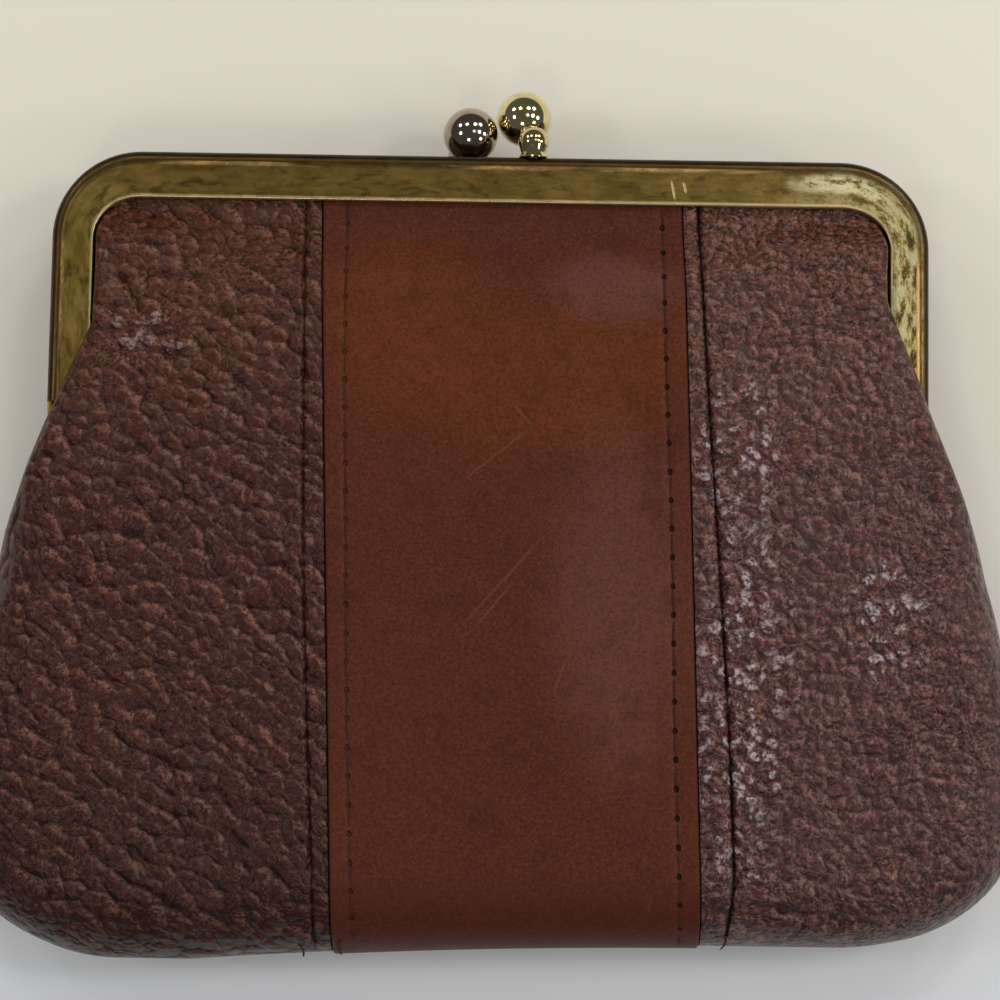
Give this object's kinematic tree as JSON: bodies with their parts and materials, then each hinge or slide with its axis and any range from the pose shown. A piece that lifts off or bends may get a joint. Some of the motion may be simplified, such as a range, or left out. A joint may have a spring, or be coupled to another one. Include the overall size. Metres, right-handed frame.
{
  "type": "kiss lock coin purse",
  "caption": "Small leather coin purse, pebbled sides and a smooth lapped centre strip, with a hinged brass channel frame and a kiss lock clasp of balls.",
  "frame": {"origin": "under the middle of the closed purse's bounding box, on the surface that it lies on", "axes": "+X to the purse's right as its front is seen, +Y from the bottom of the bag to the clasp, +Z out of its front face; it lies on its back"},
  "size_m": [0.1126, 0.0952, 0.0155],
  "materials": {
    "brass": "polished, worn and slightly tarnished",
    "pebbled_leather": "pebbled grain, dark reddish brown, semi gloss",
    "smooth_leather": "smooth, reddish brown, worn, satin",
    "lining": "plain woven cloth",
    "packing": "raw paper"
  },
  "bodies": {
    "bag_and_back_frame": {"back_frame": "brass", "back_clasp_post": "brass", "back_clasp_ball": "brass", "left_hinge_rivet": "brass", "right_hinge_rivet": "brass", "back_packing_strip": "packing", "front_lining_lower": "lining", "back_lining": "lining", "front_left_panel": "pebbled_leather", "front_right_panel": "pebbled_leather", "back_left_panel": "pebbled_leather", "back_right_panel": "pebbled_leather", "front_centre_strip": "smooth_leather", "back_centre_strip": "smooth_leather"},
    "front_half": {"front_frame": "brass", "front_clasp_post": "brass", "front_clasp_ball": "brass", "front_packing_strip": "packing", "front_lining_upper": "lining"}
  },
  "joints": [
    {"name": "frame_hinge", "type": "hinge", "parent": "bag_and_back_frame", "child": "front_half", "pos_m": [-0.0007, 0.0083, 0.008], "axis": [1, 0, 0], "range_deg": [0, 90], "deforming": ["front_left_panel", "front_centre_strip", "front_right_panel"]}
  ]
}
